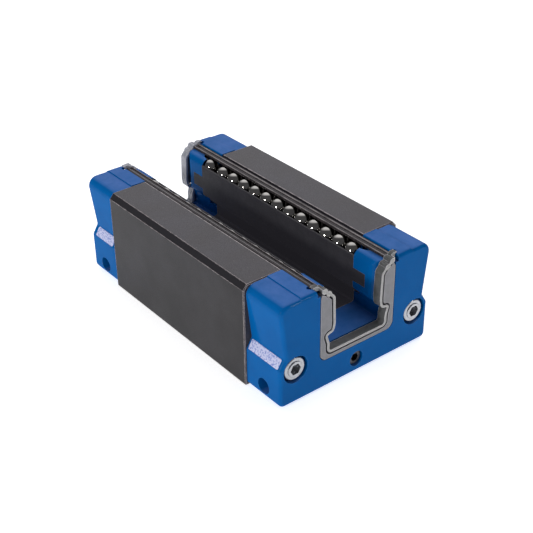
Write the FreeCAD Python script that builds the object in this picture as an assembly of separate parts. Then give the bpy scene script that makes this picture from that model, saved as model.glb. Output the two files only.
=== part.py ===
import FreeCAD, Part
import math
import os

# Linear guide carriage (ball runner block) for a 23 mm rail, lying on its mounting face.
# X runs across the block, Y along the travel, Z up from the mounting face. Millimetres.
# The rail runs through the channel that opens upwards; its head faces the channel floor.

os.makedirs("parts", exist_ok=True)
V = FreeCAD.Vector

# Driving dimensions
STEEL_WIDTH = 48.0
STEEL_LENGTH = 57.8
STEEL_HEIGHT = 28.2
BLOCK_LENGTH = 83.0
BALL_DIAMETER = 4.762
BALL_PITCH = 4.8

# Steel body
TOP_CHAMFER_X = 1.2
TOP_CHAMFER_Z = 1.4
EDGE_CHAMFER = 0.25
CHANNEL_TOP_HALF = 12.9
CHANNEL_HEAD_HALF = 10.2
CHANNEL_FLOOR = 10.0
PLATE_POCKET_HALF = 14.25
PLATE_POCKET_LOW = 16.3
PLATE_POCKET_HIGH = 25.55
HEAD_LEDGE = 13.9
MOUNT_HOLE_PITCH = 35.0
MOUNT_HOLE_RADIUS = 2.5
MOUNT_HOLE_DEPTH = 7.0

# Ball circuits: centres of the load and return rows in the XZ plane, right side
BALL_RADIUS = BALL_DIAMETER / 2
LOAD_X = 10.0
CIRCUITS = {
    "upper": {"load": (LOAD_X, 24.6), "back": (19.4, 22.7), "first": -28.5, "lone": 30.4,
              "returns": (-28.9, 13, 4.8), "turn_pitch": 5.03},
    "lower": {"load": (LOAD_X, 17.5), "back": (18.5, 15.8), "first": -28.2, "lone": 30.2,
              "returns": (-28.2, 12, 4.9), "turn_pitch": 5.06},
}
LOAD_BALLS = 12
TURN_START = 31.6
RACEWAY_RADIUS = BALL_RADIUS + 0.07
CHANNEL_RADIUS = BALL_RADIUS + 0.13
TUBE_INNER_RADIUS = BALL_RADIUS + 0.14
TUBE_OUTER_RADIUS = 2.95
BORE_RADIUS = 3.0

# End caps
CAP_START = STEEL_LENGTH / 2 + 0.05
CAP_END = BLOCK_LENGTH / 2
CAP_BOTTOM = 0.25
CAP_SIDE = 23.5
CAP_WAIST = 21.9
CAP_SHOULDER = 23.6
CAP_TOP = 28.3
CAP_STEP_X = 17.0
CAP_STEP = 0.3
CAP_INNER = 11.55
CAP_STRIP_SLOT = 12.6
CAP_EDGE_FILLET = 1.0
CAP_TOP_EDGE_RADIUS = 1.2
CAP_LEDGE_Z = 10.8
CAP_WAIST_Z = 13.4
NOTCH_X = 13.0
NOTCH_Y = 39.0
NOTCH_RADIUS = 0.7
NOTCH_DEPTH = 0.7
SEAL_RECESS_HALF = 11.75
SEAL_RECESS_LOW = 8.2
GUIDE_LOW = 13.0
GUIDE_HIGH = 27.0
GUIDE_END = 39.5
GUIDE_INNER = 12.95
DEFLECTOR_START = 31.45
DEFLECTOR_END = 38.95
DEFLECTOR_X = 7.35
DEFLECTOR_SHOULDER = 2.66
DEFLECTOR_NOSE = 2.4

# Ports and screws
PORT_Y = 35.2
PORT_DEPTH = 9.0
BOSS_RADIUS = 4.7
RING_RADIUS = 2.5
RING_THICKNESS = 0.9
PLUG_SINK = 0.7
PLUG_LENGTH = 5.0
PLUG_SOCKET = 2.3
SIDE_PORT_Z = 3.5
SIDE_PORT_RADIUS = 2.1
SIDE_PORT_DEPTH = 6.0
FRONT_PORT_Z = 4.1
FRONT_PORT_RADIUS = 2.1
SCREW_X = 18.9
SCREW_Z = 9.7
SCREW_HEAD_RADIUS = 3.1
SCREW_RECESS_RADIUS = 3.6
SCREW_RECESS_DEPTH = 2.3
SCREW_HEAD_HEIGHT = 1.95
SCREW_CROWN_RADIUS = 2.1
SCREW_CROWN_HEIGHT = 0.25
SCREW_SOCKET = 3.1
SCREW_THREAD_LENGTH = 8.0
SCREW_RADIUS = 2.0
SCREW_TIP = 21.4

# Seals and strips
SEAL_HALF = 11.5
SEAL_LOW = 8.4
SEAL_PLATE_DEPTH = 1.6
SEAL_LIP_DEPTH = 2.4
SEAL_SEAM = 0.65
SEAM_GAP = 0.5
SEAL_PLATE_TOP = 26.9
SEAL_BUMP_RADIUS = 0.75
LIP_GROOVE_WIDTH = 0.75
LIP_GROOVE_DEPTH = 0.6
LIP_TOP_HALF = 11.2
FLAP_DEPTH = 1.2
FLAP_TOP = 28.75
STRIP_END = 39.0
STRIP_BASE = 27.12
STRIP_OUTER = 12.45
FOOT_INNER = 11.97
RETAINER_END = 31.4
RETAINER_INNER = 7.35
RETAINER_OUTER = 9.4
RETAINER_LOW = 16.55
RETAINER_HIGH = 25.55
TONGUE_END = 35.6
TONGUE_LOW = 18.4
TONGUE_HIGH = 22.1
TONGUE_OUTER = 8.4


def outline(corners, y):
    """Closed wire in the plane at y; a corner is (x, z) or (x, z, fillet radius)."""
    points = [V(corner[0], y, corner[1]) for corner in corners]
    ends = []
    for i, corner in enumerate(corners):
        here = points[i]
        radius = corner[2] if len(corner) > 2 else 0
        if not radius:
            ends.append((here, None, here))
            continue
        back = (points[i - 1] - here).normalize()
        ahead = (points[(i + 1) % len(points)] - here).normalize()
        half = back.getAngle(ahead) / 2
        reach = radius / math.tan(half)
        inward = (back + ahead).normalize()
        middle = here + inward * (radius / math.sin(half) - radius)
        ends.append((here + back * reach, middle, here + ahead * reach))
    edges = []
    for i, (start, middle, end) in enumerate(ends):
        if middle is not None:
            edges.append(Part.Arc(start, middle, end).toShape())
        following = ends[(i + 1) % len(ends)][0]
        if (following - end).Length > 1e-6:
            edges.append(Part.LineSegment(end, following).toShape())
    return Part.Wire(edges)


def bar(corners, start, end):
    """Prism of an XZ outline from y = start to y = end."""
    face = Part.Face(outline(corners, start))
    return face.extrude(V(0, end - start, 0))


def mirrored(corners):
    """Right half of an outline, from the centre line out, joined to its mirror image."""
    left = [(-corner[0], *corner[1:]) for corner in reversed(corners) if corner[0] > 0]
    return list(corners) + left


def block(x0, y0, z0, x1, y1, z1):
    return Part.makeBox(x1 - x0, y1 - y0, z1 - z0, V(x0, y0, z0))


def rod(x, z, radius, start, end):
    """Cylinder along Y."""
    low, high = sorted((start, end))
    return Part.makeCylinder(radius, high - low, V(x, low, z), V(0, 1, 0))


def hexagon_rod(x, z, across_corners, start, end):
    points = []
    for step in range(6):
        angle = math.radians(60 * step)
        points.append((x + across_corners / 2 * math.cos(angle), z + across_corners / 2 * math.sin(angle)))
    return bar(points, start, end)


def to_left(shape):
    return shape.mirror(V(0, 0, 0), V(1, 0, 0))


def to_rear(shape):
    return shape.mirror(V(0, 0, 0), V(0, 1, 0))


def save(name, shape):
    solids = shape.Solids
    whole = solids[0] if len(solids) == 1 else Part.makeCompound(solids)
    if not whole.isValid():
        print("not valid:", name)
    whole.exportStep("parts/" + name + ".step")
    print(f"{name:34s} solids {len(solids):2d}  volume {whole.Volume:9.2f}")


def turn_of(circuit):
    """Centre, radius and direction (load row to return row) of a circuit's turnaround."""
    load_x, load_z = circuit["load"]
    back_x, back_z = circuit["back"]
    across = V(back_x - load_x, 0, back_z - load_z)
    radius = across.Length / 2
    centre = V((load_x + back_x) / 2, 0, (load_z + back_z) / 2)
    return centre, radius, across.normalize()


def steel_body():
    half = STEEL_WIDTH / 2
    end = STEEL_LENGTH / 2
    section = mirrored([
        (half - EDGE_CHAMFER, 0),
        (half, EDGE_CHAMFER),
        (half, STEEL_HEIGHT - TOP_CHAMFER_Z),
        (half - TOP_CHAMFER_X, STEEL_HEIGHT),
        (CHANNEL_TOP_HALF, STEEL_HEIGHT),
        (CHANNEL_TOP_HALF, PLATE_POCKET_HIGH),
        (PLATE_POCKET_HALF, PLATE_POCKET_HIGH),
        (PLATE_POCKET_HALF, PLATE_POCKET_LOW),
        (CHANNEL_TOP_HALF, PLATE_POCKET_LOW),
        (CHANNEL_TOP_HALF, HEAD_LEDGE),
        (CHANNEL_HEAD_HALF, HEAD_LEDGE),
        (CHANNEL_HEAD_HALF, CHANNEL_FLOOR, 0.6),
    ])
    body = bar(section, -end, end)
    rims = []
    for edge in body.Edges:
        box = edge.BoundBox
        flat = box.YLength < 1e-6
        outer = max(abs(box.XMin), abs(box.XMax)) > CHANNEL_TOP_HALF + 2 or box.ZMax < 1
        pocket = box.XLength < 1e-6 and abs(abs(box.XMin) - PLATE_POCKET_HALF) < 1e-3
        if flat and outer and not pocket:
            rims.append(edge)
    body = body.makeChamfer(EDGE_CHAMFER, rims)
    cuts = []
    for circuit in CIRCUITS.values():
        x, z = circuit["back"]
        for side in (-1, 1):
            cuts.append(rod(side * x, z, BORE_RADIUS, -end - 1, end + 1))
    for side in (-1, 1):
        for direction in (-1, 1):
            y = direction * end
            bottom = y - direction * SCREW_THREAD_LENGTH
            cuts.append(rod(side * SCREW_X, SCREW_Z, SCREW_RADIUS + 0.05, y, bottom))
            hole = V(side * MOUNT_HOLE_PITCH / 2, direction * MOUNT_HOLE_PITCH / 2, 0)
            cuts.append(Part.makeCylinder(MOUNT_HOLE_RADIUS, MOUNT_HOLE_DEPTH, hole))
            cuts.append(Part.makeCone(MOUNT_HOLE_RADIUS + 0.4, MOUNT_HOLE_RADIUS, 0.4, hole))
    return body.cut(cuts)


def bearing_plate(level):
    """Hardened raceway insert of one load row, right side."""
    x, z = CIRCUITS[level]["load"]
    middle = (CIRCUITS["upper"]["load"][1] + CIRCUITS["lower"]["load"][1]) / 2
    inner, outer = 9.45, PLATE_POCKET_HALF - 0.03
    if level == "upper":
        low, high = middle + 0.05, PLATE_POCKET_HIGH - 0.03
    else:
        low, high = PLATE_POCKET_LOW + 0.03, middle - 0.05
    end = STEEL_LENGTH / 2
    plate = bar([(inner, low), (outer, low), (outer, high), (inner, high)], -end, end)
    plate = plate.cut(rod(x, z, RACEWAY_RADIUS, -end - 1, end + 1))
    return max(plate.Solids, key=lambda solid: solid.Volume)


def retainer():
    """Plastic web between the two load rows of the right side; its edges hold the balls in.
    A tongue at each end lies in a window of the deflector."""
    shape = block(RETAINER_INNER, -RETAINER_END, RETAINER_LOW, RETAINER_OUTER, RETAINER_END, RETAINER_HIGH)
    tongue = deflector(RETAINER_END - 0.4).common(tongue_window(0.03))
    for circuit in CIRCUITS.values():
        tongue = tongue.cut(turn_channel(circuit))
    shape = shape.fuse([tongue, to_rear(tongue)])
    for circuit in CIRCUITS.values():
        x, z = circuit["load"]
        shape = shape.cut(rod(x, z, RACEWAY_RADIUS + 0.01, -RETAINER_END - 1, RETAINER_END + 1))
    return max(shape.Solids, key=lambda solid: solid.Volume)


def upper_strip():
    """Longitudinal sealing strip along the right top edge, with two ribs."""
    full = bar([
        (10.25, STRIP_BASE), (STRIP_OUTER, STRIP_BASE), (STRIP_OUTER, 27.85, 0.2), (11.75, 28.1, 0.15),
        (11.45, 27.7), (10.75, 27.6), (10.45, 27.95, 0.12), (10.2, 27.65, 0.1),
    ], -STRIP_END, STRIP_END)
    end = STEEL_LENGTH / 2
    foot_low = PLATE_POCKET_HIGH + 0.05
    web = block(FOOT_INNER, -end, foot_low, STRIP_OUTER - 0.03, end, STRIP_BASE + 0.08)
    toe = block(FOOT_INNER, -end, foot_low, CHANNEL_TOP_HALF - 0.03, end, foot_low + 1)
    foot = web.fuse(toe)
    foot = foot.cut(rod(*CIRCUITS["upper"]["load"], RACEWAY_RADIUS + 0.03, -end, end))
    return full.fuse(foot).removeSplitter()


def lower_strip():
    """Plastic strip under the lower load row; it lies on the ledge beside the rail head."""
    ledge = HEAD_LEDGE + 0.02
    shape = bar([
        (9.75, ledge), (12.88, ledge), (12.88, 16.25), (12.4, 16.25),
        (12.0, 15.1, 0.3), (11.0, 14.8), (9.75, 14.8),
    ], -RETAINER_END, RETAINER_END)
    return shape.cut(rod(*CIRCUITS["lower"]["load"], RACEWAY_RADIUS + 0.03, -RETAINER_END, RETAINER_END))


def return_tube(level):
    x, z = CIRCUITS[level]["back"]
    end = STEEL_LENGTH / 2
    return rod(x, z, TUBE_OUTER_RADIUS, -end, end).cut(rod(x, z, TUBE_INNER_RADIUS, -end, end))


def turn_channel(circuit):
    """Space that the balls of a front turnaround sweep, right side."""
    centre, radius, across = turn_of(circuit)
    centre = centre + V(0, -TURN_START, 0)
    normal = across.cross(V(0, 1, 0))
    start = centre - across * radius
    end = centre + across * radius
    section = Part.Wire(Part.makeCircle(CHANNEL_RADIUS, start, V(0, 1, 0)))
    turn = Part.Face(section).revolve(centre, normal, 180)
    if turn.BoundBox.YMin > centre.y - radius:
        turn = Part.Face(section).revolve(centre, normal, -180)
    shapes = [turn]
    for point in (start, end):
        shapes.append(rod(point.x, point.z, CHANNEL_RADIUS, -TURN_START, -TURN_START + 5))
    return shapes[0].fuse(shapes[1:])


def deflector(start):
    """Front right deflector beside the rail, from |y| = start to its rounded nose, still solid."""
    upper_x, upper_z = CIRCUITS["upper"]["load"]
    lower_x, lower_z = CIRCUITS["lower"]["load"]
    rise = math.sqrt(DEFLECTOR_SHOULDER ** 2 - (upper_x - DEFLECTOR_X) ** 2)
    slant = DEFLECTOR_SHOULDER * math.sqrt(0.5)
    y = -DEFLECTOR_END
    upper_from = V(DEFLECTOR_X, y, upper_z + rise)
    upper_over = V(upper_x - slant, y, upper_z + slant)
    upper_to = V(upper_x - 0.6, y, GUIDE_HIGH)
    lower_to = V(DEFLECTOR_X, y, lower_z - rise)
    lower_over = V(lower_x - slant, y, lower_z - slant)
    lower_from = V(9.75, y, lower_z - DEFLECTOR_SHOULDER + 0.01)
    foot = V(9.75, y, GUIDE_LOW)
    back_low = V(GUIDE_INNER + 0.1, y, GUIDE_LOW)
    back_high = V(GUIDE_INNER + 0.1, y, GUIDE_HIGH)
    edges = [
        Part.LineSegment(foot, lower_from).toShape(),
        Part.Arc(lower_from, lower_over, lower_to).toShape(),
        Part.LineSegment(lower_to, upper_from).toShape(),
        Part.Arc(upper_from, upper_over, upper_to).toShape(),
        Part.LineSegment(upper_to, back_high).toShape(),
        Part.LineSegment(back_high, back_low).toShape(),
        Part.LineSegment(back_low, foot).toShape(),
    ]
    body = Part.Face(Part.Wire(edges)).extrude(V(0, DEFLECTOR_END - start, 0))
    nose_x = DEFLECTOR_X + DEFLECTOR_NOSE
    nose_y = y + DEFLECTOR_NOSE
    nose = block(DEFLECTOR_X - 1, y - 1, GUIDE_LOW - 1, nose_x, nose_y, GUIDE_HIGH + 1)
    pillar = Part.makeCylinder(DEFLECTOR_NOSE, GUIDE_HIGH + 5, V(nose_x, nose_y, 0))
    return body.cut(nose.cut(pillar))


def tongue_window(gap):
    """Window in the front right deflector for the retainer's tongue, smaller all round by gap."""
    return block(DEFLECTOR_X - 1, gap - TONGUE_END, TONGUE_LOW + gap,
                 TONGUE_OUTER - gap, -RETAINER_END + 1, TONGUE_HIGH - gap)


def turn_guide():
    """Front right recirculation insert: block in the cap with the deflector beside the rail."""
    outer = bar([
        (GUIDE_INNER, GUIDE_LOW), (20.85, GUIDE_LOW), (22.3, 25.4, 0.5), (21.6, GUIDE_HIGH, 0.5),
        (GUIDE_INNER, GUIDE_HIGH),
    ], -GUIDE_END, -CAP_START - 0.02)
    guide = outer.fuse(deflector(DEFLECTOR_START)).cut(tongue_window(0))
    for circuit in CIRCUITS.values():
        guide = guide.cut(turn_channel(circuit))
    return max(guide.Solids, key=lambda solid: solid.Volume)


def top_edge_waste():
    """What is taken off the front cap to round the edge between its top and its front face."""
    y = CAP_TOP_EDGE_RADIUS - CAP_END
    z = CAP_TOP - CAP_TOP_EDGE_RADIUS
    corner = block(-CAP_SHOULDER - 1, -CAP_END - 1, z, CAP_SHOULDER + 1, y, CAP_TOP + 1)
    length = 2 * CAP_SHOULDER + 4
    round_edge = Part.makeCylinder(CAP_TOP_EDGE_RADIUS, length, V(-length / 2, y, z), V(1, 0, 0))
    return corner.cut(round_edge)


def end_cap():
    """Front end cap: moulded shell round the channel, with pockets for guides, seal and screws."""
    section = mirrored([
        (CAP_SIDE, CAP_BOTTOM, 1.4),
        (CAP_SIDE, CAP_LEDGE_Z, 0.8),
        (CAP_WAIST, CAP_WAIST_Z, 0.8),
        (CAP_SHOULDER, CAP_TOP - CAP_STEP, 2.6),
        (CAP_STEP_X + 0.15, CAP_TOP - CAP_STEP),
        (CAP_STEP_X, CAP_TOP),
        (CAP_STRIP_SLOT, CAP_TOP, 0.35),
        (CAP_STRIP_SLOT, GUIDE_HIGH + 0.05),
        (CAP_INNER, GUIDE_HIGH + 0.05),
        (CAP_INNER, GUIDE_LOW - 0.05),
        (CHANNEL_HEAD_HALF, GUIDE_LOW - 0.05),
        (CHANNEL_HEAD_HALF, CHANNEL_FLOOR, 0.6),
    ])
    cap = bar(section, -CAP_END, -CAP_START)
    rims = []
    for edge in cap.Edges:
        box = edge.BoundBox
        front = box.YMax < -CAP_END + 1e-6
        outer = min(abs(box.XMin), abs(box.XMax)) > 20.5 or box.ZMax < 2.6
        if front and outer:
            rims.append(edge)
    cap = cap.makeFillet(CAP_EDGE_FILLET, rims)
    recess = [
        (-SEAL_RECESS_HALF, SEAL_RECESS_LOW, 2.2), (SEAL_RECESS_HALF, SEAL_RECESS_LOW, 2.2),
        (SEAL_RECESS_HALF, GUIDE_HIGH), (-SEAL_RECESS_HALF, GUIDE_HIGH),
    ]
    recess_depth = SEAL_PLATE_DEPTH + 0.05
    cuts = [bar(recess, -CAP_END - 1, -CAP_END + recess_depth), top_edge_waste()]
    cuts.append(widened(SEAL_SEAM + 0.05, -CAP_END - 1, -CAP_END + SEAL_LIP_DEPTH + 0.05))
    groove_start = -CAP_END + SEAL_LIP_DEPTH + 0.05
    cuts.append(widened(SEAL_SEAM + LIP_GROOVE_DEPTH, groove_start, groove_start + LIP_GROOVE_WIDTH))
    cuts.append(block(-CAP_STRIP_SLOT, -CAP_END - 1, GUIDE_HIGH - 0.4,
                      CAP_STRIP_SLOT, -CAP_END + recess_depth, CAP_TOP + 1))
    pocket = bar([
        (10.8, GUIDE_LOW - 0.05), (20.9, GUIDE_LOW - 0.05), (22.36, 25.4, 0.5),
        (21.65, GUIDE_HIGH + 0.05, 0.5), (10.8, GUIDE_HIGH + 0.05),
    ], -GUIDE_END - 0.05, -CAP_START + 1)
    cuts += [pocket, to_left(pocket)]
    for side in (-1, 1):
        x = side * SCREW_X
        cuts.append(rod(x, SCREW_Z, SCREW_RECESS_RADIUS, -CAP_END - 1, -CAP_END + SCREW_RECESS_DEPTH))
        cuts.append(rod(x, SCREW_Z, SCREW_RADIUS + 0.2, -CAP_END, -CAP_START + 1))
        face = V(side * (CAP_SIDE + 1), -PORT_Y, SIDE_PORT_Z)
        cuts.append(Part.makeCylinder(SIDE_PORT_RADIUS, SIDE_PORT_DEPTH + 1, face, V(-side, 0, 0)))
        notch = V(side * NOTCH_X, -NOTCH_Y, CAP_TOP - NOTCH_DEPTH)
        cuts.append(Part.makeCylinder(NOTCH_RADIUS, NOTCH_DEPTH + 1, notch))
    boss = Part.makeCylinder(BOSS_RADIUS, CAP_BOTTOM + 0.6, V(0, -PORT_Y, 0))
    boss = boss.makeChamfer(0.15, [edge for edge in boss.Edges if edge.BoundBox.ZMax < 1e-6])
    port = rod(0, FRONT_PORT_Z, FRONT_PORT_RADIUS, -CAP_END - 1, -CAP_END + PORT_DEPTH)
    seat_outer = Part.makeCylinder(RING_RADIUS + 0.6, 0.5, V(0, -PORT_Y, 0))
    seat_inner = Part.makeCylinder(RING_RADIUS - 0.6, 0.5, V(0, -PORT_Y, 0))
    return cap.cut(cuts).fuse(boss).cut([port, seat_outer.cut(seat_inner)]).removeSplitter()


def rail_opening():
    """Outline that the seal lip follows: rail head at the floor, waist, then the rail's foot."""
    return mirrored([
        (8.8, 10.4, 0.8),
        (8.8, 12.8, 0.8),
        (9.45, 15.0, 0.35),
        (7.35, 15.5, 1.4),
        (7.0, 17.8, 0.8),
        (7.25, 25.0, 1.2),
        (8.6, 26.5, 0.4),
        (12.3, 29.0),
        (12.3, 40),
    ])


def widened(offset, start, end):
    """The rail opening grown by an offset, as a prism."""
    wire = outline(rail_opening(), start)
    if offset:
        wire = wire.makeOffset2D(offset, 0, False, False)
    return Part.Face(wire).extrude(V(0, end - start, 0))


def seal_bumps(start, end, growth):
    """Two rounded bumps at each top end of the seal lip."""
    bumps = []
    for x, z in ((9.15, 26.3), (10.45, 27.4)):
        for side in (-1, 1):
            bumps.append(rod(side * x, z, SEAL_BUMP_RADIUS + growth, start, end))
    return bumps


def seal_flaps(end):
    """Short flap behind the outer bump on each side; it hangs over the cap's top edge."""
    flap = bar([
        (10.6, 27.6), (12.45, 27.6), (12.45, CAP_TOP + 0.06), (12.9, CAP_TOP + 0.08),
        (12.9, FLAP_TOP, 0.15), (11.6, FLAP_TOP, 0.4), (10.9, 28.1, 0.3),
    ], end - FLAP_DEPTH, end)
    return [flap, to_left(flap)]


def seal_plate():
    """Rigid outer part of the front end seal, set in the cap's recess."""
    start, end = -CAP_END, -CAP_END + SEAL_PLATE_DEPTH
    plate = bar(mirrored([
        (SEAL_HALF, SEAL_LOW, 2.0), (SEAL_HALF, SEAL_PLATE_TOP, 1.2),
    ]), start, end)
    plate = plate.cut(widened(SEAL_SEAM + SEAM_GAP, start - 1, end + 1))
    plate = plate.cut(seal_bumps(start - 1, end + 1, 0.12))
    return max(plate.Solids, key=lambda solid: solid.Volume)


def seal_lip():
    """Flexible inner part of the front end seal: it follows the rail and ends in bumps and flaps."""
    start, end = -CAP_END, -CAP_END + SEAL_LIP_DEPTH
    lip = widened(SEAL_SEAM, start, end).cut(widened(0, start - 1, end + 1))
    lip = lip.common(block(-LIP_TOP_HALF, start - 1, 0, LIP_TOP_HALF, end + 1, FLAP_TOP))
    return lip.fuse(seal_bumps(start, end, 0) + seal_flaps(end)).removeSplitter()


def cap_screws():
    """Two flanged hex socket screws of the front cap."""
    seat = -CAP_END + SCREW_RECESS_DEPTH
    screws = []
    for side in (-1, 1):
        x = side * SCREW_X
        flange_face = seat - SCREW_HEAD_HEIGHT
        crown_face = flange_face - SCREW_CROWN_HEIGHT
        flange = rod(x, SCREW_Z, SCREW_HEAD_RADIUS, flange_face, seat)
        rim = [edge for edge in flange.Edges if edge.BoundBox.YMax < flange_face + 0.01]
        flange = flange.makeFillet(0.5, rim)
        crown = rod(x, SCREW_Z, SCREW_CROWN_RADIUS, crown_face, flange_face + 0.1)
        rim = [edge for edge in crown.Edges if edge.BoundBox.YMax < crown_face + 0.01]
        crown = crown.makeFillet(0.2, rim)
        shank = rod(x, SCREW_Z, SCREW_RADIUS, seat, -SCREW_TIP)
        socket = hexagon_rod(x, SCREW_Z, SCREW_SOCKET, crown_face - 1, seat - 0.2)
        screws.append(flange.fuse([crown, shank]).removeSplitter().cut(socket))
    return Part.makeCompound(screws)


def port_plug():
    """Set screw that closes the front lube port."""
    start = -CAP_END + PLUG_SINK
    plug = rod(0, FRONT_PORT_Z, FRONT_PORT_RADIUS - 0.06, start, start + PLUG_LENGTH)
    rim = [edge for edge in plug.Edges if edge.BoundBox.YMax < start + 1e-6]
    plug = plug.makeChamfer(0.3, rim)
    return plug.cut(hexagon_rod(0, FRONT_PORT_Z, PLUG_SOCKET, start - 1, start + 2))


def port_ring():
    """O-ring half sunk in the collar of the front cap's top lube port."""
    half = RING_THICKNESS / 2
    reach = RING_RADIUS + RING_THICKNESS
    ring = Part.makeTorus(RING_RADIUS, half, V(0, -PORT_Y, half + 0.02))
    return ring.common(block(-reach, -PORT_Y - reach, 0.02, reach, -PORT_Y + reach, half + 0.03))


def spheres(points):
    return Part.makeCompound([Part.makeSphere(BALL_RADIUS, point) for point in points])


def load_row(circuit):
    x, z = circuit["load"]
    places = [circuit["first"] + BALL_PITCH * i for i in range(LOAD_BALLS)] + [circuit["lone"]]
    return spheres([V(x, y, z) for y in places])


def return_row(circuit):
    x, z = circuit["back"]
    first, count, pitch = circuit["returns"]
    return spheres([V(x, first + pitch * i, z) for i in range(count)])


def turn_balls(circuit, count, direction):
    """Balls on a turnaround; direction is -1 at the front and 1 at the rear."""
    centre, radius, across = turn_of(circuit)
    points = []
    for i in range(count):
        angle = math.pi / 2 + (i - (count - 1) / 2) * circuit["turn_pitch"] / radius
        offset = across * (-radius * math.cos(angle))
        y = direction * (TURN_START + radius * math.sin(angle))
        points.append(centre + offset + V(0, y, 0))
    return spheres(points)


def save_pair(name, shape):
    """Right-hand shape and its left-hand mirror image."""
    save(name + "_right", shape)
    save(name + "_left", to_left(shape))


def save_ends(name, shape):
    """Front shape and its rear mirror image."""
    save("front_" + name, shape)
    save("rear_" + name, to_rear(shape))


save("carriage_body", steel_body())
save_ends("end_cap", end_cap())
save_ends("seal_plate", seal_plate())
save_ends("seal_lip", seal_lip())
save_ends("cap_screws", cap_screws())
save_ends("port_plug", port_plug())
save_ends("port_o_ring", port_ring())
save_pair("front_turn_guide", turn_guide())
save_pair("rear_turn_guide", to_rear(turn_guide()))
save_pair("ball_retainer", retainer())
save_pair("upper_seal_strip", upper_strip())
save_pair("lower_seal_strip", lower_strip())
for level, circuit in CIRCUITS.items():
    save_pair(level + "_bearing_plate", bearing_plate(level))
    save_pair(level + "_return_tube", return_tube(level))
    save_pair(level + "_load_balls", load_row(circuit))
    save_pair(level + "_return_balls", return_row(circuit))
    save_pair(level + "_front_turn_balls", turn_balls(circuit, 3, -1))
    save_pair(level + "_rear_turn_balls", turn_balls(circuit, 2, 1))
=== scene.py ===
import math

import bmesh
import bpy
from mathutils import Matrix, Vector


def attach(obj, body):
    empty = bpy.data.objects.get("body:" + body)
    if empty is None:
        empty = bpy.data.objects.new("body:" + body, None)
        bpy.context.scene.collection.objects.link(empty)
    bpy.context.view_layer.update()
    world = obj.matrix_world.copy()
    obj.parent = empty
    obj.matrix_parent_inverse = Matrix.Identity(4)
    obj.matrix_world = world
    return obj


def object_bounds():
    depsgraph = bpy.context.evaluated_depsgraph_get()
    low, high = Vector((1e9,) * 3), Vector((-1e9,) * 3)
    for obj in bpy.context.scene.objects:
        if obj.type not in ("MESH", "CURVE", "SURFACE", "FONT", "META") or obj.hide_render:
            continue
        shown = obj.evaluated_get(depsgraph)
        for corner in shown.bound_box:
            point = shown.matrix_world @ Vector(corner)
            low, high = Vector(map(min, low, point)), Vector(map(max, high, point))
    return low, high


# Linear guide carriage, looks only. Everything is in metres in the CAD model's frame:
# X across the block, Y along the rail, Z up from the mounting face.

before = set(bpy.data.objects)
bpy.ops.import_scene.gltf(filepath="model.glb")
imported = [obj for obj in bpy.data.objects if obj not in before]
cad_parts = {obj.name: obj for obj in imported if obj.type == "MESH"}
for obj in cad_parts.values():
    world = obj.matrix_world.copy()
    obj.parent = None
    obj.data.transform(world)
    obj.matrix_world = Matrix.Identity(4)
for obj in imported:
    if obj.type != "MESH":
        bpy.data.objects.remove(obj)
CAD_LOW, CAD_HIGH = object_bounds()
MM = 0.001

# Camera: direction it looks in, and where the frame's origin lies from its axis
CAMERA_AZIMUTH = 37.885
CAMERA_ELEVATION = 31.596
CAMERA_ROLL = -0.821
CAMERA_DISTANCE = 294.32 * MM
CAMERA_RIGHT = 4.03 * MM
CAMERA_UP = 8.82 * MM
CAMERA_LENS = 74.16
SENSOR_WIDTH = 36.0

# Colours, linear; two tones of one surface mix in a mottled pattern
STEEL_GROUND = (0.062, 0.059, 0.064)
STEEL_BROWN = (0.056, 0.052, 0.052)
# Painted shade for the steel's faces that look along X
STEEL_SIDE_PAINTED_SHADE = (0.009, 0.0085, 0.0085)
# Unground black oxide; on the chamfers it also stands as a painted dark reflection
STEEL_UNGROUND_AND_PAINTED_REFLECTION = (0.016, 0.015, 0.016)
STEEL_SPECK = (0.22, 0.2, 0.19)
# Rubbed bare steel on edges, also used as painted edge highlight
STEEL_WORN_AND_HIGHLIGHT = (0.42, 0.37, 0.37)
BLUE = (0.001, 0.108, 0.355)
BLUE_DEEP = (0.001, 0.096, 0.322)
# Rubbed blue edges, also used as painted edge highlight
BLUE_WORN_AND_HIGHLIGHT = (0.10, 0.25, 0.55)
# Painted sheen on the upward faces of the blue plastic
BLUE_TOP_PAINTED_SHEEN = (0.085, 0.205, 0.56)
SEAL_GREY = (0.245, 0.245, 0.262)
SEAL_GREY_DARK = (0.21, 0.21, 0.22)
# Painted shade on the front seal lips' faces other than their ends, then painted light on those
# ends
SEAL_SHADE = (0.085, 0.09, 0.085)
SEAL_SHADE_LIGHT = (0.12, 0.12, 0.12)
SEAL_LIP_PAINTED_LIT = (0.40, 0.40, 0.385)
# Painted light: paler tones for the rear seal lip, which is lit from behind
SEAL_PAINTED_BACKLIGHT = (0.42, 0.43, 0.47)
SEAL_PAINTED_BACKLIGHT_DARK = (0.34, 0.35, 0.38)
# Painted highlight on seal rims
SEAL_RIM_HIGHLIGHT = (0.48, 0.47, 0.49)
BLACK = (0.018, 0.018, 0.020)
BLACK_LIGHT = (0.030, 0.029, 0.032)
BLACK_WORN = (0.16, 0.15, 0.15)
STRIP_DARK = (0.012, 0.010, 0.011)
STRIP_BROWN = (0.055, 0.045, 0.047)
# Painted highlight on the strip ribs
STRIP_RIB_HIGHLIGHT = (0.34, 0.31, 0.31)
CHROME = (0.34, 0.33, 0.31)
ZINC = (0.46, 0.47, 0.49)
RACEWAY = (0.42, 0.42, 0.43)
SET_SCREW = (0.10, 0.10, 0.105)
TUBE_NATURAL = (0.62, 0.60, 0.55)
RING_BLACK = (0.012, 0.012, 0.012)
PATCH_PALE = (0.62, 0.64, 0.86)
PATCH_BLUE = (0.20, 0.27, 0.62)
HAZE = (0.0105, 0.0100, 0.0125, 1)

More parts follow.
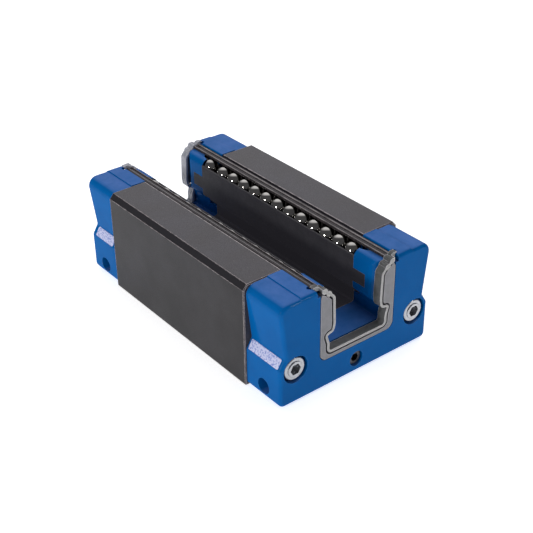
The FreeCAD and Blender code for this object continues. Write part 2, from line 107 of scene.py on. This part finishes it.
# Studio: a world with one broad softbox, a glowing floor and two small lamps
WALL_DARK = (0.15, 0.15, 0.16)
SOFTBOX_WHITE = (1.65, 1.64, 1.70)
SOFTBOX_TOWARDS = (0.42, 0.54, 0.73)
SOFTBOX_OUTSIDE = 0.66
SOFTBOX_INSIDE = 0.92
FLOOR_HALF_SIDE = 3.0
FLOOR_WHITE = (0.90, 0.90, 0.90, 1)
FLOOR_ROUGHNESS = 0.9
FLOOR_GLOW = 0.66
LAMP_TARGET = (0, 0, 0.012)
LAMPS = (  # name, place, size in metres, watts
    ("left_lamp", (-0.78, -0.12, 0.31), (0.11, 0.10), 3.0),
    ("right_strip", (0.35, -0.58, 0.28), (0.04, 0.20), 0.35),
)

# Where painted highlight lines lie on the block and strips, in mm from its middle plane, with half
# their width
CHANNEL_EDGE_HIGHLIGHT = (12.98, 0.14)
OUTER_RIB_HIGHLIGHT = (11.74, 0.16)
INNER_RIB_HIGHLIGHT = (10.42, 0.14)
CHAMFER_NORMAL = (0.76, 0, 0.65)

# Blank print patches on the sloped step of the left cap sides, in mm
PATCH_SPANS = {"front_print_patch": (-40.3, -29.4), "rear_print_patch": (31.0, 39.5)}
SLOPE_LOW = (-23.5, 0, 10.8)
SLOPE_HIGH = (-21.9, 0, 13.4)
PATCH_LIFT = -0.02
PATCH_MARGIN = 0.22
PATCH_CORNER = 0.35
PATCH_CORNER_STEPS = 5
PATCH_THICKNESS = 0.07


def aim(obj, direction, up):
    """Turns a camera or light so that it looks along direction."""
    back = -Vector(direction).normalized()
    right = Vector(up).cross(back).normalized()
    true_up = back.cross(right)
    obj.rotation_mode = "QUATERNION"
    rows = [[right[i], true_up[i], back[i]] for i in range(3)]
    obj.rotation_quaternion = Matrix(rows).to_quaternion()


def make_camera():
    azimuth = math.radians(CAMERA_AZIMUTH)
    elevation = math.radians(CAMERA_ELEVATION)
    roll = math.radians(CAMERA_ROLL)
    ahead = Vector((math.sin(azimuth) * math.cos(elevation),
                    math.cos(azimuth) * math.cos(elevation), -math.sin(elevation)))
    level = Vector((math.cos(azimuth), -math.sin(azimuth), 0))
    upright = level.cross(ahead)
    right = level * math.cos(roll) + upright * math.sin(roll)
    up = upright * math.cos(roll) - level * math.sin(roll)
    data = bpy.data.cameras.new("camera")
    data.lens = CAMERA_LENS
    data.sensor_width = SENSOR_WIDTH
    data.clip_start = 0.01
    camera = bpy.data.objects.new("camera", data)
    bpy.context.scene.collection.objects.link(camera)
    camera.location = right * CAMERA_RIGHT + up * CAMERA_UP - ahead * CAMERA_DISTANCE
    aim(camera, ahead, up)
    bpy.context.scene.camera = camera


def soft_light(name, place, size, power):
    data = bpy.data.lights.new(name, "AREA")
    data.shape = "RECTANGLE"
    data.size, data.size_y = size
    data.energy = power
    light = bpy.data.objects.new(name, data)
    bpy.context.scene.collection.objects.link(light)
    light.location = place
    aim(light, Vector(LAMP_TARGET) - Vector(place), (0, 0, 1))


def make_world():
    """Dark walls with a softbox that fades out with the angle from its direction."""
    world = bpy.data.worlds.new("studio")
    bpy.context.scene.world = world
    world.use_nodes = True
    tree = world.node_tree
    background = tree.nodes["Background"]
    source = tree.nodes.new("ShaderNodeTexCoord")
    dot = tree.nodes.new("ShaderNodeVectorMath")
    dot.operation = "DOT_PRODUCT"
    tree.links.new(source.outputs["Generated"], dot.inputs[0])
    dot.inputs[1].default_value = SOFTBOX_TOWARDS
    glow = spread(tree, dot.outputs["Value"], SOFTBOX_OUTSIDE, SOFTBOX_INSIDE)
    tree.links.new(mixed(tree, glow, WALL_DARK, SOFTBOX_WHITE), background.inputs["Color"])
    background.inputs["Strength"].default_value = 1.0


def make_floor():
    half = FLOOR_HALF_SIDE
    corners = [(-half, -half, 0), (half, -half, 0), (half, half, 0), (-half, half, 0)]
    mesh = bpy.data.meshes.new("floor")
    mesh.from_pydata(corners, [], [(0, 1, 2, 3)])
    floor = bpy.data.objects.new("floor", mesh)
    bpy.context.scene.collection.objects.link(floor)
    floor.location.z = CAD_LOW.z
    material, shader, tree = new_material("floor_white")
    shader.inputs["Base Color"].default_value = FLOOR_WHITE
    shader.inputs["Roughness"].default_value = FLOOR_ROUGHNESS
    shader.inputs["Emission Color"].default_value = (1, 1, 1, 1)
    shader.inputs["Emission Strength"].default_value = FLOOR_GLOW
    mesh.materials.append(material)


# Shader building blocks

def new_material(name):
    material = bpy.data.materials.new(name)
    material.use_nodes = True
    tree = material.node_tree
    shader = tree.nodes["Principled BSDF"]
    return material, shader, tree


def coordinates(tree, scale=(1, 1, 1)):
    """Object coordinates in millimetres, stretched by scale."""
    source = tree.nodes.new("ShaderNodeTexCoord")
    mapping = tree.nodes.new("ShaderNodeMapping")
    mapping.inputs["Scale"].default_value = [1000 * s for s in scale]
    tree.links.new(source.outputs["Object"], mapping.inputs["Vector"])
    return mapping.outputs["Vector"]


def noise(tree, vector, size, detail=3.0, roughness=0.55, distortion=0.0):
    """Noise whose features are about size millimetres across."""
    node = tree.nodes.new("ShaderNodeTexNoise")
    node.inputs["Scale"].default_value = 1 / size
    node.inputs["Detail"].default_value = detail
    node.inputs["Roughness"].default_value = roughness
    node.inputs["Distortion"].default_value = distortion
    tree.links.new(vector, node.inputs["Vector"])
    return node.outputs["Fac"]


def spread(tree, value, low, high, to_low=0.0, to_high=1.0):
    node = tree.nodes.new("ShaderNodeMapRange")
    node.inputs["From Min"].default_value = low
    node.inputs["From Max"].default_value = high
    node.inputs["To Min"].default_value = to_low
    node.inputs["To Max"].default_value = to_high
    tree.links.new(value, node.inputs["Value"])
    return node.outputs["Result"]


def mixed(tree, share, first, second):
    """Colour that goes from first to second; each is a colour or a socket."""
    node = tree.nodes.new("ShaderNodeMix")
    node.data_type = "RGBA"
    sockets = [s for s in node.inputs if s.type == "RGBA"]
    for socket, colour in zip(sockets, (first, second)):
        if isinstance(colour, tuple):
            socket.default_value = (*colour, 1)
        else:
            tree.links.new(colour, socket)
    tree.links.new(share, node.inputs["Factor"])
    return next(s for s in node.outputs if s.type == "RGBA")


def maths(tree, operation, first, second=None):
    node = tree.nodes.new("ShaderNodeMath")
    node.operation = operation
    for i, value in enumerate((first, second)):
        if value is None:
            continue
        if isinstance(value, (int, float)):
            node.inputs[i].default_value = value
        else:
            tree.links.new(value, node.inputs[i])
    return node.outputs[0]


def edge_mask(tree, radius, low, high):
    """1 within about radius millimetres of an edge, 0 on flat ground."""
    bevel = tree.nodes.new("ShaderNodeBevel")
    bevel.samples = 6
    bevel.inputs["Radius"].default_value = radius * MM
    geometry = tree.nodes.new("ShaderNodeNewGeometry")
    dot = tree.nodes.new("ShaderNodeVectorMath")
    dot.operation = "DOT_PRODUCT"
    tree.links.new(bevel.outputs["Normal"], dot.inputs[0])
    tree.links.new(geometry.outputs["True Normal"], dot.inputs[1])
    bend = maths(tree, "SUBTRACT", 1.0, dot.outputs["Value"])
    return spread(tree, bend, low, high)


def bump(tree, shader, height, distance, strength):
    """Surface relief of distance millimetres."""
    node = tree.nodes.new("ShaderNodeBump")
    node.inputs["Strength"].default_value = strength
    node.inputs["Distance"].default_value = distance * MM
    tree.links.new(height, node.inputs["Height"])
    tree.links.new(node.outputs["Normal"], shader.inputs["Normal"])


def set_colour(tree, shader, colour):
    tree.links.new(colour, shader.inputs["Base Color"])


def set_roughness(tree, shader, value, smooth, rough, low=0.3, high=0.7):
    """Roughness that goes from smooth to rough as value goes from low to high."""
    tree.links.new(spread(tree, value, low, high, smooth, rough), shader.inputs["Roughness"])


def facing(tree, direction, low, high):
    """1 where the surface faces direction or its mirror image across X, else 0."""
    geometry = tree.nodes.new("ShaderNodeNewGeometry")
    absolute = tree.nodes.new("ShaderNodeVectorMath")
    absolute.operation = "ABSOLUTE"
    tree.links.new(geometry.outputs["Normal"], absolute.inputs[0])
    dot = tree.nodes.new("ShaderNodeVectorMath")
    dot.operation = "DOT_PRODUCT"
    tree.links.new(absolute.outputs[0], dot.inputs[0])
    dot.inputs[1].default_value = direction
    return spread(tree, dot.outputs["Value"], low, high)


def add_haze(shader):
    """Faint even glow that keeps the shadowed black parts from going fully black."""
    shader.inputs["Emission Color"].default_value = HAZE
    shader.inputs["Emission Strength"].default_value = 1.0


def blackened_steel():
    """Black oxide on ground faces; faces along X are painted darker as shade, chamfers blacker as
    unground oxide and a painted dark reflection, edges worn bright with painted edge highlights.
    """
    material, shader, tree = new_material("blackened_steel")
    here = coordinates(tree)
    cloud = spread(tree, noise(tree, here, 9.0, 4.0), 0.35, 0.65)
    grain = noise(tree, here, 0.22, 4.0, 0.7)
    lines = noise(tree, coordinates(tree, (1.0, 0.04, 1.0)), 0.16, 2.0)
    colour = mixed(tree, cloud, STEEL_GROUND, STEEL_BROWN)
    speck = spread(tree, noise(tree, here, 0.5, 2.0, 0.6), 0.68, 0.75)
    colour = mixed(tree, maths(tree, "MULTIPLY", speck, 0.5), colour, STEEL_SPECK)
    dark = mixed(tree, spread(tree, grain, 0.35, 0.7, 0.0, 0.75), colour, STEEL_UNGROUND_AND_PAINTED_REFLECTION)
    # Painted shade: faces that look along X are darkened, by a mottled amount
    side = maths(tree, "MULTIPLY", facing(tree, (1, 0, 0), 0.9, 0.98),
                 spread(tree, cloud, 0, 1, 0.7, 0.95))
    colour = mixed(tree, side, dark, STEEL_SIDE_PAINTED_SHADE)
    # Chamfers darkened: partly unground black oxide, partly a painted dark reflection
    chamfer = facing(tree, CHAMFER_NORMAL, 0.985, 0.998)
    colour = mixed(tree, chamfer, colour, STEEL_UNGROUND_AND_PAINTED_REFLECTION)
    patchy = spread(tree, noise(tree, here, 1.6, 4.0), 0.3, 0.6, 0.15, 0.9)
    # Light edge lines: partly rubbed wear, partly painted edge highlight
    edges = edge_mask(tree, 0.28, 0.004, 0.03)
    # Painted highlight: a light line along the steel top at its inner channel edge
    channel_highlight_line = line_mask(tree, axis_value(tree, here, "X"), *CHANNEL_EDGE_HIGHLIGHT)
    painted_channel_highlight = maths(tree, "MULTIPLY", channel_highlight_line, facing(tree, (0, 0, 1), 0.8, 0.9))
    wear = maths(tree, "MULTIPLY", maths(tree, "MAXIMUM", edges, painted_channel_highlight), patchy)
    colour = mixed(tree, wear, colour, STEEL_WORN_AND_HIGHLIGHT)
    set_colour(tree, shader, colour)
    tree.links.new(spread(tree, wear, 0, 1, 0.75, 0.2), shader.inputs["Metallic"])
    add_haze(shader)
    set_roughness(tree, shader, grain, 0.38, 0.56, 0.25, 0.75)
    relief = maths(tree, "ADD", grain, maths(tree, "MULTIPLY", lines, 0.6))
    bump(tree, shader, relief, 0.012, 0.6)
    return material


def moulded_blue(name, base, deep):
    """Injection-moulded plastic: upward faces painted paler as a sheen, faint flow marks, and edges
    rubbed light with a painted edge highlight.
    """
    material, shader, tree = new_material(name)
    here = coordinates(tree)
    flow = spread(tree, noise(tree, here, 7.0, 3.0, 0.5, 0.6), 0.35, 0.7)
    colour = mixed(tree, flow, base, deep)
    cloud = spread(tree, noise(tree, here, 5.0, 4.0, 0.6), 0.3, 0.7, 0.35, 0.75)
    # Painted sheen: upward faces are mixed, in clouds, towards a paler blue
    top = maths(tree, "MULTIPLY", facing(tree, (0, 0, 1), 0.8, 0.98), cloud)
    colour = mixed(tree, top, colour, BLUE_TOP_PAINTED_SHEEN)
    # Lighter edges: partly rubbed wear, partly painted edge highlight
    rub_and_highlight = maths(tree, "MULTIPLY", edge_mask(tree, 0.3, 0.05, 0.3), 0.35)
    colour = mixed(tree, rub_and_highlight, colour, BLUE_WORN_AND_HIGHLIGHT)
    set_colour(tree, shader, colour)
    set_roughness(tree, shader, noise(tree, here, 2.5, 5.0, 0.65), 0.22, 0.36)
    shader.inputs["Specular IOR Level"].default_value = 0.0
    shader.inputs["Coat Weight"].default_value = 0.13
    shader.inputs["Coat Roughness"].default_value = 0.09
    bump(tree, shader, noise(tree, here, 6.0, 1.0), 0.02, 0.2)
    return material


def seal_plastic(name, low, high, roughness, front=None):
    """Matt seal material with painted highlights along its rims; the last argument makes a lip,
    whose end faces get that colour as painted light.
    """
    material, shader, tree = new_material(name)
    here = coordinates(tree)
    mottle = spread(tree, noise(tree, here, 1.4, 4.0), 0.3, 0.7)
    colour = mixed(tree, mottle, low, high)
    # A lip's end faces take the last argument's colour as painted light
    if front:
        colour = mixed(tree, facing(tree, (0, 1, 0), 0.8, 0.95), colour, front)
    # Painted highlight along the rims
    rim = maths(tree, "MULTIPLY", edge_mask(tree, 0.3, 0.01, 0.1), 0.8)
    colour = mixed(tree, rim, colour, SEAL_RIM_HIGHLIGHT)
    set_colour(tree, shader, colour)
    fine = noise(tree, here, 0.25, 3.0)
    set_roughness(tree, shader, fine, roughness - 0.08, roughness + 0.08)
    shader.inputs["Specular IOR Level"].default_value = 0.3
    if front:
        shader.inputs["Subsurface Weight"].default_value = 0.7
        shader.inputs["Subsurface Radius"].default_value = (1.0, 1.0, 1.0)
        shader.inputs["Subsurface Scale"].default_value = 0.8 * MM
    bump(tree, shader, fine, 0.015, 0.6)
    return material


def black_plastic(name):
    material, shader, tree = new_material(name)
    here = coordinates(tree)
    shade = spread(tree, noise(tree, here, 3.0, 4.0), 0.3, 0.7)
    colour = mixed(tree, shade, BLACK, BLACK_LIGHT)
    wear = maths(tree, "MULTIPLY", edge_mask(tree, 0.15, 0.02, 0.12), 0.6)
    colour = mixed(tree, wear, colour, BLACK_WORN)
    set_colour(tree, shader, colour)
    fine = noise(tree, here, 0.3, 3.0)
    set_roughness(tree, shader, fine, 0.45, 0.65)
    shader.inputs["Specular IOR Level"].default_value = 0.12
    add_haze(shader)
    bump(tree, shader, fine, 0.01, 0.5)
    return material


def line_mask(tree, across, middle, half_width):
    """1 within half_width of the two lines where |across| = middle, soft at the borders."""
    offset = maths(tree, "SUBTRACT", maths(tree, "ABSOLUTE", across), middle)
    away = maths(tree, "ABSOLUTE", offset)
    return spread(tree, away, half_width, half_width * 0.5)


def axis_value(tree, vector, axis):
    node = tree.nodes.new("ShaderNodeSeparateXYZ")
    tree.links.new(vector, node.inputs[0])
    return node.outputs[axis]


def strip_plastic():
    """Ribbed sealing strip: dark, cross-hatched, with painted highlight lines along the tops of its
    two ribs.
    """
    material, shader, tree = new_material("strip_plastic")
    here = coordinates(tree)
    across = axis_value(tree, here, "X")
    hatch = noise(tree, coordinates(tree, (0.35, 1.0, 0.35)), 0.35, 2.0)
    body = mixed(tree, spread(tree, hatch, 0.4, 0.65), STRIP_DARK, STRIP_BROWN)
    streaks = noise(tree, coordinates(tree, (1, 0.25, 1)), 1.2, 3.0)
    patchy = spread(tree, streaks, 0.3, 0.6, 0.25, 1.0)
    # Painted highlight lines on the upward faces of the two ribs, broken into patches
    ribs = maths(tree, "ADD", line_mask(tree, across, *OUTER_RIB_HIGHLIGHT),
                 line_mask(tree, across, *INNER_RIB_HIGHLIGHT))
    up = facing(tree, (0, 0, 1), 0.2, 0.6)
    share = maths(tree, "MULTIPLY", maths(tree, "MULTIPLY", ribs, patchy), up)
    set_colour(tree, shader, mixed(tree, share, body, STRIP_RIB_HIGHLIGHT))
    set_roughness(tree, shader, hatch, 0.38, 0.6)
    shader.inputs["Specular IOR Level"].default_value = 0.3
    bump(tree, shader, hatch, 0.015, 0.6)
    return material


def bare_metal(name, colour, roughness, grain_size, relief):
    material, shader, tree = new_material(name)
    here = coordinates(tree)
    tone = spread(tree, noise(tree, here, grain_size * 6, 4.0), 0.3, 0.7)
    darker = tuple(0.8 * c for c in colour)
    set_colour(tree, shader, mixed(tree, tone, colour, darker))
    shader.inputs["Metallic"].default_value = 1.0
    fine = noise(tree, here, grain_size, 4.0, 0.6)
    set_roughness(tree, shader, fine, roughness * 0.8, roughness * 1.25)
    if relief:
        bump(tree, shader, fine, relief, 0.5)
    return material


def plain_plastic(name, colour, roughness):
    material, shader, tree = new_material(name)
    here = coordinates(tree)
    tone = spread(tree, noise(tree, here, 1.5, 4.0), 0.3, 0.7)
    darker = tuple(0.75 * c for c in colour)
    set_colour(tree, shader, mixed(tree, tone, colour, darker))
    fine = noise(tree, here, 0.3, 3.0)
    set_roughness(tree, shader, fine, roughness - 0.07, roughness + 0.07)
    bump(tree, shader, fine, 0.01, 0.5)
    return material


def dress(name, material):
    """Gives a CAD node's object this material in every slot."""
    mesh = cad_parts[name].data
    mesh.materials.clear()
    mesh.materials.append(material)


def dress_all():
    # The first key that is part of a node's name decides, so rear_seal_lip is before seal_lip
    chosen = {
        "carriage_body": blackened_steel(),
        "end_cap": moulded_blue("blue_cap_plastic", BLUE, BLUE_DEEP),
        "turn_guide": moulded_blue("blue_insert_plastic", BLUE, BLUE_DEEP),
        "seal_plate": seal_plastic("grey_seal_plate", SEAL_GREY, SEAL_GREY_DARK, 0.5),
        # Rear seal lip coloured paler as painted light from behind
        "rear_seal_lip": seal_plastic("seal_rubber_painted_backlight", SEAL_PAINTED_BACKLIGHT, SEAL_PAINTED_BACKLIGHT_DARK, 0.35,
                                      SEAL_PAINTED_BACKLIGHT),
        # Front seal lips: painted shade on their sides, painted light on their end faces
        "seal_lip": seal_plastic("grey_seal_rubber_painted_light_and_shade", SEAL_SHADE, SEAL_SHADE_LIGHT, 0.6, SEAL_LIP_PAINTED_LIT),
        "retainer": black_plastic("black_retainer_plastic"),
        "upper_seal_strip": strip_plastic(),
        "lower_seal_strip": black_plastic("black_ledge_plastic"),
        "bearing_plate": bare_metal("hardened_raceway", RACEWAY, 0.22, 0.2, 0.004),
        "return_tube": plain_plastic("natural_tube_plastic", TUBE_NATURAL, 0.45),
        "balls": bare_metal("polished_bearing_steel", CHROME, 0.07, 0.4, 0),
        "cap_screws": bare_metal("zinc_plating", ZINC, 0.28, 0.15, 0.006),
        "port_plug": bare_metal("dark_set_screw", SET_SCREW, 0.42, 0.15, 0.01),
        "port_o_ring": plain_plastic("black_rubber", RING_BLACK, 0.6),
    }
    for name in sorted(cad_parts):
        kind = next(key for key in chosen if key in name)
        dress(name, chosen[kind])


def printed_patch():
    """Blank matt print, pale with blue showing through; it carries no lettering."""
    material, shader, tree = new_material("pale_print")
    here = coordinates(tree)
    mottle = noise(tree, here, 0.45, 3.0, 0.6)
    holes = spread(tree, mottle, 0.50, 0.60)
    set_colour(tree, shader, mixed(tree, holes, PATCH_PALE, PATCH_BLUE))
    set_roughness(tree, shader, mottle, 0.5, 0.65)
    bump(tree, shader, mottle, 0.01, 0.5)
    return material


def slope_patch(name, start, end, material):
    """Thin rounded patch on the slope, from y = start to y = end, in mm."""
    low, high = Vector(SLOPE_LOW), Vector(SLOPE_HIGH)
    up_slope = (high - low).normalized()
    outward = Vector((-up_slope.z, 0, up_slope.x))
    middle = (low + high) / 2 + Vector((0, (start + end) / 2, 0)) + outward * PATCH_LIFT
    half_length = abs(end - start) / 2
    half_width = (high - low).length / 2 - PATCH_MARGIN
    mesh = bmesh.new()
    ring = []
    for corner_x, corner_y, first in ((1, 1, 0), (-1, 1, 90), (-1, -1, 180), (1, -1, 270)):
        for step in range(PATCH_CORNER_STEPS + 1):
            angle = math.radians(first + 90 * step / PATCH_CORNER_STEPS)
            along = corner_x * (half_length - PATCH_CORNER) + PATCH_CORNER * math.cos(angle)
            over = corner_y * (half_width - PATCH_CORNER) + PATCH_CORNER * math.sin(angle)
            place = middle + Vector((0, along, 0)) + up_slope * over
            ring.append(mesh.verts.new(place * MM))
    face = mesh.faces.new(ring)
    grown = bmesh.ops.extrude_face_region(mesh, geom=[face])
    raised = [item for item in grown["geom"] if isinstance(item, bmesh.types.BMVert)]
    bmesh.ops.translate(mesh, verts=raised, vec=outward * PATCH_THICKNESS * MM)
    bmesh.ops.recalc_face_normals(mesh, faces=mesh.faces)
    data = bpy.data.meshes.new(name)
    mesh.to_mesh(data)
    mesh.free()
    data.materials.append(material)
    patch = bpy.data.objects.new(name, data)
    bpy.context.scene.collection.objects.link(patch)
    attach(patch, "block")


make_camera()
make_world()
make_floor()
for lamp in LAMPS:
    soft_light(*lamp)
dress_all()
print_material = printed_patch()
for patch_name, (patch_start, patch_end) in PATCH_SPANS.items():
    slope_patch(patch_name, patch_start, patch_end, print_material)

bpy.context.scene.view_settings.view_transform = "Standard"
